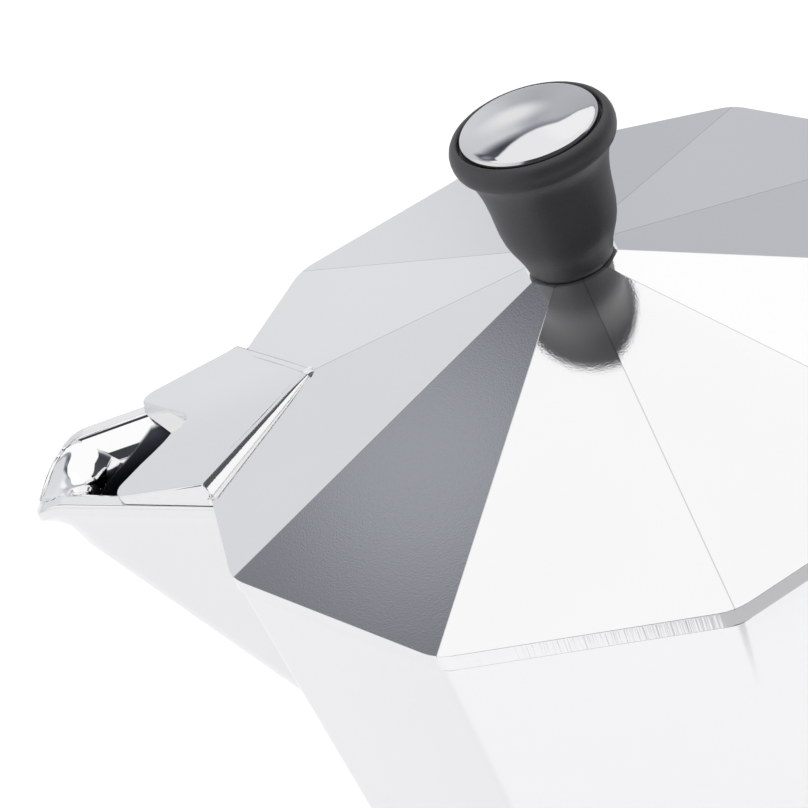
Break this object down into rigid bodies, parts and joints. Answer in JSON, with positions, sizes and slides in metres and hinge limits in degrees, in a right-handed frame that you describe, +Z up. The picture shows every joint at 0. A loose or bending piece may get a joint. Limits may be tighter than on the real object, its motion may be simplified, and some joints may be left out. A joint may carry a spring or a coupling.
{
  "type": "moka pot",
  "caption": "Ten-sided aluminium stovetop moka pot with a screwed boiler and collector, drop-in coffee funnel, hinged lid with a covered spout, round knob and side handle.",
  "frame": {"origin": "centre of the flat underside of the boiler", "axes": "+Z up along the pot's axis, spout towards -X, handle and lid hinge towards +X, safety valve towards -Y"},
  "size_m": [0.1842, 0.1043, 0.2157],
  "materials": {
    "cast_aluminium": "satin",
    "lid_aluminium": "fine blasted satin",
    "spun_aluminium": "plain",
    "brass": "plain",
    "steel": "plain",
    "polished_steel": "polished",
    "fibre": "matte",
    "rubber": "matte",
    "black_plastic": "satin"
  },
  "bodies": {
    "boiler": {"boiler": "cast_aluminium", "valve_body": "brass", "valve_washer": "fibre", "valve_spring": "steel", "valve_cap": "brass"},
    "valve_pin": {"valve_pin": "steel"},
    "funnel": {"funnel": "spun_aluminium", "funnel_stem": "spun_aluminium", "funnel_screen": "spun_aluminium"},
    "gasket": {"gasket": "rubber"},
    "filter_plate": {"filter_plate": "spun_aluminium"},
    "collector": {"collector": "cast_aluminium", "hinge_pin": "steel", "handle": "black_plastic", "handle_pin": "steel"},
    "lid": {"lid": "lid_aluminium", "knob": "black_plastic", "knob_insert": "brass", "knob_disc": "polished_steel", "knob_screw": "steel", "knob_washer": "steel"}
  },
  "joints": [
    {"name": "valve_pin_slide", "type": "slide", "parent": "boiler", "child": "valve_pin", "axis": [0, -1, 0], "range_m": [0, 0.0012], "stiffness_N_per_m": 800, "springref_m": -0.001, "deforming": ["valve_spring"]},
    {"name": "funnel_lift", "type": "slide", "parent": "boiler", "child": "funnel", "axis": [0, 0, 1], "range_m": [0, 0.09]},
    {"name": "thread_rise", "type": "slide", "parent": "funnel", "child": "gasket", "axis": [0, 0, 1], "range_m": [0, 0.005]},
    {"name": "collector_turn", "type": "hinge", "parent": "gasket", "child": "filter_plate", "pos_m": [0, 0, 0.09], "axis": [0, 0, 1], "range_deg": [0, 600]},
    {"name": "collector_lift", "type": "slide", "parent": "filter_plate", "child": "collector", "axis": [0, 0, 1], "range_m": [0, 0.06]},
    {"name": "lid_hinge", "type": "hinge", "parent": "collector", "child": "lid", "pos_m": [0.0555, 0, 0.18322], "axis": [0, 1, 0], "range_deg": [0, 110]}
  ],
  "couplings": [
    {"joint": "thread_rise", "follows": "collector_turn", "m_per_rad": 0.00047746}
  ]
}
